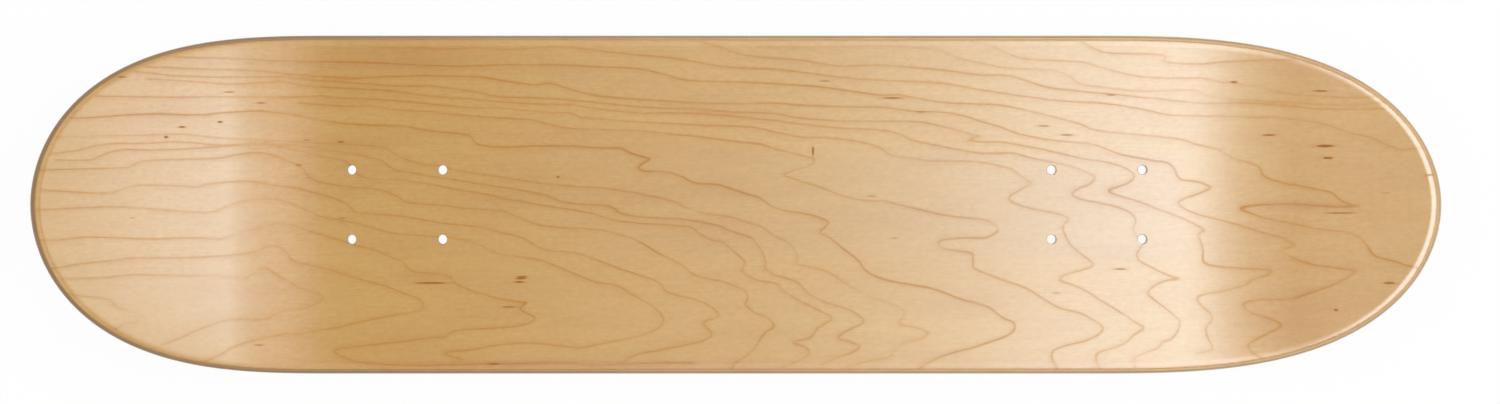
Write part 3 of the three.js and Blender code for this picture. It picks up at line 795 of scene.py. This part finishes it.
# Marks along each growth ring, from the innermost out, in pixels of the picture
RING_MARKS = [
    [
        (68, 294), (90, 297), (108, 299), (115, 303), (113, 306), (125, 310), (138, 314), (142, 318),
        (138, 321), (125, 324), (118, 328)
    ],
    [
        (65, 279), (100, 278), (130, 275), (160, 275), (190, 276), (210, 275), (230, 277), (245, 278),
        (256, 272), (266, 268), (280, 277), (290, 282), (300, 288), (315, 293), (323, 298), (318, 303),
        (305, 308), (285, 311), (270, 317), (262, 320), (230, 320), (215, 324), (195, 331), (183, 337),
        (165, 344)
    ],
    [
        (55, 268), (80, 264), (110, 261), (135, 258), (180, 258), (220, 256), (240, 254), (255, 252),
        (270, 246), (280, 248), (288, 254), (292, 260), (310, 265), (330, 270), (350, 276), (370, 282),
        (385, 286), (400, 292), (415, 297), (422, 302), (423, 308), (418, 311), (400, 314), (380, 318),
        (360, 322), (340, 327), (320, 330), (300, 334), (285, 334), (260, 339), (245, 343), (230, 349),
        (220, 355), (208, 360)
    ],
    [
        (40, 240), (60, 240), (90, 237), (120, 238), (150, 239), (180, 238), (200, 238), (220, 239),
        (235, 234), (260, 228), (280, 223), (300, 228), (320, 234), (340, 240), (355, 245), (375, 250),
        (395, 259), (402, 261), (406, 266), (415, 272), (440, 274), (450, 277), (455, 283), (465, 288),
        (480, 293), (500, 299), (520, 302), (526, 303), (520, 309), (530, 315), (535, 318), (530, 323),
        (510, 327), (480, 329), (460, 330), (450, 333), (445, 337), (430, 338), (400, 342), (370, 345),
        (345, 348), (334, 351), (345, 358), (365, 363), (400, 365), (440, 365), (480, 364), (520, 364),
        (560, 363), (600, 365), (660, 363), (690, 363)
    ],
    [
        (40, 210), (80, 208), (115, 207), (150, 209), (190, 212), (212, 212), (225, 207), (240, 202),
        (260, 199), (280, 200), (300, 207), (320, 216), (340, 220), (360, 224), (380, 230), (400, 234),
        (430, 236), (450, 238), (470, 241), (485, 248), (500, 254), (520, 257), (540, 260), (560, 268),
        (580, 276), (595, 282), (615, 285), (625, 290), (640, 299), (655, 308), (663, 318), (662, 325),
        (655, 330), (640, 336), (620, 340), (600, 344), (580, 348), (560, 346), (530, 343), (500, 345),
        (470, 350), (445, 353), (460, 359)
    ],
    [
        (45, 190), (90, 193), (110, 193), (120, 190), (130, 187), (145, 185), (180, 186), (200, 187),
        (208, 184), (240, 181), (260, 183), (280, 186), (300, 189), (330, 197), (345, 203), (352, 209),
        (360, 213), (400, 216), (430, 221), (450, 224), (480, 227), (500, 232), (520, 237), (535, 245),
        (545, 250), (575, 253), (600, 261), (620, 269), (645, 277), (660, 283), (665, 291), (680, 296),
        (700, 301), (715, 310), (718, 317), (705, 321), (705, 326), (712, 334), (705, 340), (690, 344),
        (660, 350), (640, 354), (630, 358), (620, 364)
    ],
    [
        (40, 170), (80, 169), (120, 168), (132, 166), (140, 162), (160, 160), (200, 159), (220, 158),
        (235, 155), (250, 153), (265, 153), (280, 158), (295, 164), (303, 169), (308, 176), (316, 181),
        (330, 184), (350, 187), (375, 189), (390, 193), (400, 198), (405, 202), (420, 204), (440, 205),
        (460, 208), (490, 210), (505, 212), (515, 216), (530, 222), (545, 226), (570, 228), (600, 230),
        (625, 236), (640, 242), (650, 248), (660, 254), (680, 264), (690, 272), (700, 277), (720, 281),
        (735, 286), (745, 291), (748, 298), (745, 304), (750, 309), (755, 313), (768, 318), (774, 326),
        (765, 333), (760, 340), (755, 348), (745, 357), (735, 363), (733, 368)
    ],
    [
        (60, 160), (90, 160), (100, 156), (120, 150), (160, 150), (200, 148), (240, 145), (260, 142),
        (280, 147), (300, 151), (320, 156), (345, 161), (352, 168), (365, 178), (400, 180), (430, 184),
        (460, 190), (490, 195), (505, 199), (520, 201), (540, 205), (560, 208), (590, 213), (605, 218),
        (620, 221), (650, 224), (680, 226), (692, 228), (700, 234), (712, 240), (722, 242), (732, 250),
        (745, 262), (742, 270), (748, 276), (760, 281), (775, 283), (785, 292), (800, 301), (820, 311),
        (832, 318), (818, 328), (810, 338), (793, 342), (805, 347), (810, 353), (800, 360), (785, 366)
    ],
    [
        (55, 153), (75, 151), (90, 147), (110, 144), (150, 143), (180, 142), (220, 145), (250, 144),
        (280, 145), (300, 146), (320, 149), (350, 153), (380, 160), (390, 167), (400, 171), (430, 176),
        (450, 179), (480, 184), (500, 187), (520, 190), (545, 195), (560, 201), (575, 204), (600, 205),
        (613, 208), (622, 214), (640, 217), (680, 219), (700, 222), (720, 226), (730, 231), (750, 237),
        (755, 242), (762, 252), (766, 262), (765, 268), (775, 275), (795, 281), (803, 288), (810, 295),
        (825, 302), (850, 310), (862, 318), (863, 323), (855, 327), (843, 333), (838, 338), (850, 342),
        (860, 346), (853, 352), (840, 357), (825, 363)
    ],
    [
        (60, 137), (150, 135), (180, 134), (220, 138), (260, 140), (300, 142), (340, 144), (370, 146),
        (385, 148), (400, 157), (420, 164), (440, 166), (460, 171), (500, 177), (520, 180), (540, 183),
        (570, 186), (610, 189), (640, 194), (660, 198), (675, 202), (685, 207), (700, 212), (730, 217),
        (750, 223), (760, 226), (775, 236), (788, 243), (797, 255), (798, 264), (815, 268), (830, 273),
        (845, 283), (865, 294), (880, 300), (895, 305), (905, 313), (900, 320), (902, 325), (918, 328),
        (928, 333), (920, 339), (905, 343), (895, 350), (890, 357), (870, 361), (850, 366)
    ],
    [
        (75, 118), (100, 117), (130, 115), (160, 114), (200, 115), (220, 113), (240, 112), (260, 111),
        (280, 113), (300, 116), (320, 120), (350, 124), (400, 126), (420, 129), (440, 132), (460, 134),
        (470, 136), (474, 141), (480, 145), (500, 147), (540, 146), (570, 146), (600, 148), (620, 148),
        (628, 152), (640, 156), (650, 159), (643, 163), (638, 168), (645, 171), (665, 172), (680, 176),
        (695, 183), (720, 185), (735, 190), (750, 195), (760, 198), (775, 208), (800, 213), (815, 216),
        (828, 222), (824, 228), (820, 232), (830, 238), (845, 250), (858, 260), (865, 270), (880, 278),
        (900, 283), (920, 286), (940, 291), (960, 299), (980, 304), (990, 308), (1003, 318), (1013, 322),
        (1014, 330), (1005, 337), (990, 342), (975, 347), (955, 352), (940, 357), (930, 362), (922, 367)
    ],
    [
        (300, 103), (340, 106), (370, 106), (400, 110), (430, 112),
        (460, 115), (500, 118), (530, 120), (545, 123), (560, 127), (580, 129), (620, 130), (650, 132),
        (700, 137), (740, 142), (760, 144), (775, 149), (800, 155), (812, 158), (815, 161), (808, 166),
        (790, 172), (784, 175), (800, 181), (820, 187), (835, 193), (850, 198), (870, 201), (885, 201),
        (900, 205), (930, 212), (950, 216), (980, 219), (990, 222), (998, 228), (995, 233), (985, 238),
        (960, 238), (942, 240), (938, 244), (945, 249), (960, 251), (972, 254), (973, 262), (975, 269),
        (990, 275), (1000, 279), (1015, 284), (1030, 290), (1045, 300), (1060, 308), (1080, 313),
        (1095, 321), (1103, 328), (1098, 335), (1085, 341), (1065, 346), (1053, 351), (1052, 358),
        (1056, 367)
    ],
    [
        (100, 96), (150, 97), (200, 97), (260, 97), (300, 97), (320, 96), (340, 98), (400, 101),
        (440, 105), (480, 108), (500, 108), (540, 112), (570, 113), (580, 117), (600, 119), (640, 122),
        (700, 125), (730, 126), (750, 127), (770, 131), (800, 137), (830, 138), (860, 142), (880, 148),
        (892, 156), (910, 158), (930, 161), (960, 161), (985, 163), (1000, 166), (1013, 170),
        (1019, 175), (1028, 181), (1031, 184), (1020, 190), (1010, 196), (1012, 202), (1030, 208),
        (1050, 212), (1064, 216), (1069, 220), (1063, 225), (1064, 233), (1070, 244), (1080, 253),
        (1093, 264), (1085, 269), (1065, 275), (1060, 280), (1070, 284), (1085, 290), (1100, 300),
        (1120, 312), (1135, 322), (1144, 328), (1135, 334), (1125, 343), (1110, 349), (1098, 353),
        (1096, 358), (1098, 365)
    ],
    [
        (150, 79), (200, 82), (230, 84), (280, 82), (300, 85), (340, 88), (380, 90), (400, 92),
        (430, 96), (460, 98), (490, 101), (540, 104), (570, 105), (600, 109), (640, 113), (680, 113),
        (720, 115), (740, 117), (770, 120), (800, 124), (840, 128), (880, 130), (900, 134), (912, 140),
        (940, 146), (960, 150), (980, 153), (1010, 153), (1020, 155), (1040, 160), (1070, 166),
        (1085, 172), (1095, 177), (1090, 184), (1078, 189), (1072, 194), (1080, 199), (1100, 203),
        (1120, 208), (1132, 214), (1136, 222), (1133, 230), (1138, 238), (1143, 243), (1137, 254),
        (1140, 261), (1155, 269), (1170, 276), (1180, 279), (1165, 281), (1152, 287), (1148, 294),
        (1155, 300), (1165, 308), (1175, 316), (1180, 322), (1177, 332), (1170, 340), (1162, 342),
        (1158, 348), (1145, 353), (1135, 358), (1135, 365)
    ],
    [
        (140, 72), (180, 76), (230, 77), (280, 77), (310, 80), (340, 82), (370, 84), (400, 86),
        (430, 86), (450, 88), (470, 91), (490, 95), (505, 97), (540, 98), (580, 101), (600, 103),
        (630, 106), (660, 108), (700, 109), (730, 112), (770, 113), (800, 118), (840, 121), (880, 121),
        (920, 122), (940, 126), (960, 131), (975, 135), (980, 136), (968, 140), (985, 142), (1000, 142),
        (1020, 145), (1050, 151), (1080, 158), (1110, 163), (1125, 168), (1134, 175), (1130, 182),
        (1118, 187), (1108, 191), (1120, 196), (1140, 202), (1160, 210), (1180, 217), (1190, 222),
        (1200, 227), (1205, 231), (1198, 234), (1200, 240), (1203, 250), (1203, 260), (1210, 265),
        (1235, 268), (1260, 269), (1272, 271), (1265, 276), (1252, 280), (1248, 284), (1235, 288),
        (1220, 292), (1205, 294), (1197, 299), (1202, 306), (1210, 313), (1212, 320), (1206, 328),
        (1208, 338), (1212, 346), (1212, 350), (1200, 353)
    ],
    [
        (150, 67), (200, 69), (240, 70), (270, 72), (290, 74), (330, 77), (360, 78), (400, 76),
        (440, 76), (480, 77), (505, 81), (520, 83), (535, 85), (550, 83), (560, 86), (575, 91),
        (585, 93), (600, 96), (620, 98), (650, 100), (680, 102), (700, 103), (740, 104), (770, 103),
        (800, 105), (850, 107), (880, 107), (910, 111), (940, 112), (960, 115), (980, 121), (1000, 127),
        (1020, 134), (1050, 140), (1070, 142), (1095, 145), (1120, 154), (1150, 160), (1168, 163),
        (1175, 170), (1180, 179), (1195, 181), (1207, 185), (1210, 188), (1200, 193), (1183, 199),
        (1178, 203), (1185, 209), (1200, 215), (1220, 220), (1235, 224), (1260, 232), (1280, 237),
        (1292, 243), (1297, 246), (1288, 248), (1282, 252), (1295, 259), (1310, 264), (1335, 268),
        (1355, 271), (1345, 279), (1330, 286), (1310, 293), (1290, 299), (1260, 300), (1245, 303),
        (1244, 307), (1252, 313), (1265, 317), (1278, 322), (1280, 327), (1265, 335), (1252, 342),
        (1248, 347), (1255, 354), (1262, 358)
    ],
    [
        (180, 57), (240, 59), (280, 61), (340, 62), (380, 63), (420, 65), (460, 66), (500, 65),
        (560, 65), (600, 67), (630, 68), (650, 71), (670, 76), (680, 79), (700, 81), (740, 82),
        (780, 84), (820, 87), (850, 91), (880, 95), (900, 95), (920, 99), (940, 102), (970, 104),
        (1000, 105), (1020, 109), (1050, 116), (1080, 124), (1090, 129), (1100, 131), (1130, 134),
        (1180, 139), (1195, 144), (1220, 150), (1230, 157), (1250, 163), (1260, 168), (1263, 175),
        (1275, 181), (1300, 186), (1320, 190), (1332, 193), (1340, 200), (1352, 205), (1358, 206),
        (1340, 207), (1320, 206), (1290, 204), (1260, 205), (1240, 208), (1248, 212), (1265, 218),
        (1290, 223), (1320, 229), (1345, 232), (1360, 238), (1368, 247), (1375, 256), (1390, 260),
        (1405, 265), (1414, 267)
    ],
    [
        (380, 48), (420, 48), (450, 49), (480, 48), (500, 49), (520, 49), (545, 47), (570, 47),
        (600, 51), (640, 55), (680, 59), (695, 62), (720, 66), (740, 68), (770, 69), (800, 72),
        (830, 76), (860, 79), (900, 81), (940, 83), (970, 88), (1000, 93), (1030, 97), (1060, 101),
        (1100, 103), (1130, 107), (1150, 111), (1170, 115), (1200, 116), (1240, 117), (1280, 118),
        (1310, 121), (1330, 126), (1350, 133), (1370, 137), (1385, 144), (1400, 149), (1415, 149)
    ],
    [
        (705, 43), (720, 47), (740, 54), (770, 58), (800, 60), (830, 65), (850, 66), (880, 65),
        (920, 68), (950, 71), (980, 75), (1000, 75), (1015, 77), (1030, 82), (1050, 88), (1080, 91),
        (1110, 94), (1150, 98), (1200, 103), (1240, 103), (1280, 105), (1320, 109), (1380, 109)
    ],
    [
        (760, 47), (800, 48), (850, 47), (880, 46), (920, 48), (940, 50), (950, 55), (965, 60),
        (980, 63), (1000, 67), (1020, 69), (1050, 70), (1060, 72), (1072, 78), (1080, 84), (1100, 87),
        (1140, 91), (1180, 90), (1195, 90), (1205, 95), (1220, 98), (1250, 100), (1300, 103),
        (1340, 105), (1380, 103)
    ],
    [
        (975, 42), (990, 46), (1005, 52), (1020, 58), (1040, 60), (1080, 62), (1100, 67), (1130, 75),
        (1160, 78), (1200, 78), (1220, 82), (1232, 83), (1260, 88), (1290, 94), (1320, 96), (1350, 98),
        (1370, 97)
    ],
    [
        (1085, 44), (1095, 49), (1110, 53), (1150, 54), (1165, 56), (1165, 62), (1200, 64), (1220, 62),
        (1260, 60), (1290, 60)
    ],
]


MARK_STEPS = 12  # points of the line from one mark to the next


def drawn_through(marks):
    """Close points along a smooth line through the marks, and the way it runs at each: between two marks
    it is the cubic whose slope at each is half the way from the mark before to the mark after."""
    points = np.array(marks, float)
    ends = np.concatenate([2 * points[:1] - points[1:2], points, 2 * points[-1:] - points[-2:-1]])
    a, b, c, d = (ends[i : len(ends) - 3 + i] for i in range(4))
    t = np.linspace(0, 1, MARK_STEPS, endpoint=False)[:, None, None]
    curve = (2 * b + (c - a) * t + (2 * a - 5 * b + 4 * c - d) * t**2 + (3 * (b - c) + d - a) * t**3) / 2
    curve = np.concatenate([curve.transpose(1, 0, 2).reshape(-1, 2), points[-1:]])
    way = np.gradient(curve, axis=0)
    return curve, way / np.hypot(*way.T)[:, None]


def nearest_rings(spots):
    """The number of the ring nearest to each spot, how far outward of that ring the spot lies, measured
    square to the ring, and how far away the ring's nearest point is, in pixels."""
    curves, ways = zip(*map(drawn_through, RING_MARKS))
    number = np.repeat(np.arange(len(curves)), [len(curve) for curve in curves])
    curve, way = np.concatenate(curves), np.concatenate(ways)
    tree = KDTree(len(curve))
    for index, (across, down) in enumerate(curve.tolist()):
        tree.insert((across, down, 0), index)
    tree.balance()
    near = np.array([tree.find((across, down, 0))[1] for across, down in spots.tolist()])
    arm = spots - curve[near]
    outward = arm[:, 0] * way[near, 1] - arm[:, 1] * way[near, 0]
    return number[near], outward, np.hypot(*arm.T)


def patched(spots, patches):
    """The sum of the patches at each spot: each is its strength times e to the minus square of the
    distance from its centre over its reach."""
    total = np.zeros(len(spots))
    for centre, reach, strength in patches:
        total += strength * np.exp(-(((spots - centre) / reach) ** 2).sum(axis=1))
    return total


RING_REACH = 3.5  # pixels to which a line keeps its strength: past its ends it fades over as much again
# How bold a ring is, where that isn't 1, and places where one is bolder still
BOLD_RINGS = {0: 0.7, 1: 0.8, 9: 0.8, 10: 1.25, 11: 1.1, 15: 1.15, 16: 1.3, 19: 0.7, 20: 0.7}
BOLD_SPOTS = [
    (640, 166), (812, 160), (786, 174), (620, 210), (1110, 190), (972, 262), (1242, 208), (526, 303),
    (275, 277), (1368, 247), (650, 248), (1203, 262),
]
SPOT_REACH = 12  # pixels
SPOT_BOLDNESS = 0.5
# Patches: place in the picture, reach along and down, and strength
# Painted sheen on the nose kick, the nose bend and the tail kick
PAINTED_SHEEN_PATCHES = [
    ((150, 200), (70, 400), 0.35),
    ((280, 200), (34, 400), 1.0),
    ((1330, 200), (85, 400), 0.8),
]
# Warmer patches of the veneer
WARM_PATCHES = [
    ((520, 364), (170, 4), 1.0),
    ((640, 152), (45, 10), 0.35),
    ((425, 276), (40, 8), 0.35),
    ((1300, 315), (60, 26), 0.55),
    ((1265, 262), (55, 10), 0.35),
    ((1300, 206), (50, 5), 0.6),
    ((1265, 232), (50, 14), 0.25),
    ((955, 305), (45, 14), 0.3),
    ((380, 60), (90, 22), 0.5),
    ((1345, 345), (50, 8), 0.4),
    ((1310, 72), (45, 8), 0.35),
    ((250, 290), (60, 12), 0.25),
    ((165, 118), (60, 10), 0.2),
    ((372, 142), (40, 8), 0.3),
]
# Flecks: place in the picture, half length and half width in millimetres, and darkness
FLECKS = [
    ((122, 77), (2.0, 0.4), 0.8),
    ((166, 137), (0.9, 0.55), 1.0),
    ((182, 127), (1.6, 0.4), 1.0),
    ((220, 122), (1.2, 0.45), 1.0),
    ((229, 92), (2.6, 0.4), 0.6),
    ((261, 103), (2.2, 0.4), 0.6),
    ((299, 165), (1.5, 0.4), 0.5),
    ((307, 140), (1.4, 0.3), 0.6),
    ((341, 142), (1.6, 0.4), 0.8),
    ((132, 218), (1.2, 0.3), 0.5),
    ((343, 218), (1.6, 0.3), 0.5),
    ((259, 345), (2.2, 0.4), 0.6),
    ((431, 283), (7.4, 0.45), 0.85),
    ((522, 277), (2.6, 0.45), 0.9),
    ((519, 282), (2.4, 0.45), 0.9),
    ((509, 307), (3.4, 0.45), 0.6),
    ((558, 177), (0.7, 0.45), 0.9),
    ((494, 364), (2.6, 0.45), 0.8),
    ((825, 81), (2.4, 0.4), 0.5),
    ((892, 98), (4.6, 0.45), 0.8),
    ((921, 112), (1.8, 0.4), 0.5),
    ((813, 151), (0.5, 2.2), 0.9),
    ((872, 196), (1.8, 0.4), 0.5),
    ((895, 238), (1.4, 0.4), 0.5),
    ((1044, 126), (2.4, 0.4), 0.7),
    ((1067, 135), (3.2, 0.45), 0.6),
    ((1111, 95), (2.2, 0.4), 0.6),
    ((1056, 293), (1.8, 0.4), 0.5),
    ((1120, 269), (3.0, 0.45), 0.6),
    ((1234, 82), (1.6, 0.55), 0.8),
    ((1269, 135), (3.2, 0.45), 0.85),
    ((1325, 146), (4.2, 0.6), 1.0),
    ((1328, 158), (2.4, 0.55), 0.9),
    ((1340, 213), (7.2, 0.4), 0.6),
    ((1389, 283), (2.8, 0.55), 0.8),
    ((1336, 310), (0.8, 0.55), 1.0),
    ((1321, 91), (3.4, 0.4), 0.8),
    ((1430, 175), (2.0, 0.45), 0.7),
    ((1385, 193), (2.4, 0.3), 0.5),
]
FLECK_EDGE = 4  # half lengths or half widths, beyond which a fleck has no darkness
TOP_ROW_PITCH = 2 * mm  # of the mesh, along the deck and along its rim
TOP_COLUMN_PITCH = 1.5 * mm

low = height_of("top_face_veneer")
top_face = ply(
    "top_face_ply", low, THICKNESS, TOP_ROW_PITCH, TOP_COLUMN_PITCH, HIDDEN_PITCH,
    chamfers=(0, BOLT_HOLE_CHAMFER),
)
spots = in_picture(points_of(top_face))
number, outward, gap = nearest_rings(spots)
bold = np.array([BOLD_RINGS.get(ring, 1) for ring in range(len(RING_MARKS))])[number]
bold = bold + patched(spots, [(spot, SPOT_REACH, SPOT_BOLDNESS) for spot in BOLD_SPOTS])
bold = bold * np.clip(2 - gap / RING_REACH, 0, 1)
keep_rings(top_face, number, outward * PIXEL / mm, bold)
# Warmer patches of the veneer, and painted sheen on the kicks and the nose bend
keep_tone(top_face, patched(spots, WARM_PATCHES), patched(spots, PAINTED_SHEEN_PATCHES))

centres, reaches, darknesses = map(np.array, zip(*FLECKS))
away = (spots[:, None] - centres) * PIXEL / mm / reaches
closest = np.hypot(*away.transpose(2, 0, 1)).argmin(axis=1)
offset = away[np.arange(len(spots)), closest]
keep_flecks(top_face, offset, darknesses[closest] * (np.hypot(*offset.T) < FLECK_EDGE))
dress(top_face, "top_face_veneer", FACE_MAPLE)

# Studio
# The deck lies on its belly on white paper, in even light that comes a little more from beyond the tail.
# A row of panels over it shows only in the lacquer, and the camera looks straight down.
FLOOR_HALF = 6.0
FLOOR_DROP = 0.2 * mm
PAPER_BOUNCE = 0.35  # little light comes back up from the paper, so the edges stay dark
PAPER_SHARE = 0.88  # of the paper's white that no shadow darkens
PAPER_WHITE = 1.09
AMBIENT = 0.78  # how bright the white sky is for light that falls, where to the camera it is 1
PANEL_LENGTH = 2.0  # across the deck
PANEL_HEIGHT = 0.8
PANEL_COLOUR = (0.71, 0.97, 1.31)
# Each panel's name, its near and far edge along the deck, and its radiance
PANELS = [
    ("bright_panel", -0.21, -1.15, 7.7),
    ("middle_panel", -0.09, -0.21, 2.7),
    ("dim_panel", 0.16, -0.09, 0.9),
    ("nose_panel", 1.0, 0.5, 1.6),
]
KEY_PLACE = (-2.0, -0.7, 2.4)  # the light from beyond the tail
KEY_SIZE = 1.2
KEY_RADIANCE = 4.0
CLEAR_RAYS = ("Is Camera Ray", "Is Glossy Ray", "Is Transmission Ray")
SENSOR_WIDTH = 36.0  # millimetres, of the camera


def seen(finish):
    """1 for what the camera sees, straight, in gloss or through glass, and 0 for light that falls."""
    straight, gloss, glass = (finish.node("LightPath", output=ray) for ray in CLEAR_RAYS)
    return straight.greater(gloss).greater(glass)


def pale_floor():
    """White paper to the camera, which still shows a little of the shadow that lies on it."""
    paper = Finish(bpy.data.materials.new("pale_floor"))
    lit = paper.node("BsdfDiffuse", {}, {"Color": (PAPER_BOUNCE, PAPER_BOUNCE, PAPER_BOUNCE, 1.0)})
    white = paper.node("Emission", {}, {"Color": (1, 1, 1, 1), "Strength": PAPER_WHITE})
    shader = paper.node("MixShader", {}, {0: seen(paper) * PAPER_SHARE, 1: lit, 2: white})
    paper.node("OutputMaterial", {}, {"Surface": shader})
    return paper.holder


floor_mesh = bpy.data.meshes.new("floor")
corners = np.array([[-1, -1, 0], [1, -1, 0], [1, 1, 0], [-1, 1, 0]]) * FLOOR_HALF
floor_mesh.from_pydata((corners - [0, 0, FLOOR_DROP]).tolist(), [], [[0, 1, 2, 3]])
floor = bpy.data.objects.new("floor", floor_mesh)
bpy.context.scene.collection.objects.link(floor)
floor_mesh.materials.append(pale_floor())

sky = Finish(bpy.data.worlds.new("studio"))
brightness = seen(sky).between(AMBIENT, 1)
background = sky.node("Background", {}, {"Color": (1, 1, 1, 1), "Strength": brightness})
sky.node("OutputWorld", {}, {"Surface": background})
bpy.context.scene.world = sky.holder


def soft_light(name, place, width, length, radiance):
    """A rectangle of light that faces straight down. Its power is its radiance times pi times its area."""
    light = bpy.data.lights.new(name, "AREA")
    light.shape = "RECTANGLE"
    light.size, light.size_y = width, length
    light.energy = radiance * np.pi * width * length
    lamp = bpy.data.objects.new(name, light)
    lamp.location = place
    bpy.context.scene.collection.objects.link(lamp)
    return lamp


for name, near, far, radiance in PANELS:
    panel = soft_light(name, ((near + far) / 2, 0, PANEL_HEIGHT), near - far, PANEL_LENGTH, radiance)
    panel.data.color = PANEL_COLOUR
    panel.visible_diffuse = False
key = soft_light("key", KEY_PLACE, KEY_SIZE, KEY_SIZE, KEY_RADIANCE)
key.rotation_euler = Vector(KEY_PLACE).to_track_quat("Z", "Y").to_euler()
key.visible_glossy = False

camera_data = bpy.data.cameras.new("camera")
camera_data.sensor_width = SENSOR_WIDTH
camera_data.lens = SENSOR_WIDTH * EYE_HEIGHT / (PHOTO_WIDTH * PIXEL)
camera = bpy.data.objects.new("camera", camera_data)
camera.location = (EYE_X, EYE_Y, THICKNESS + EYE_HEIGHT)
camera.rotation_euler = (0, 0, np.pi)
bpy.context.scene.collection.objects.link(camera)
bpy.context.scene.camera = camera
bpy.context.scene.view_settings.view_transform = "Standard"
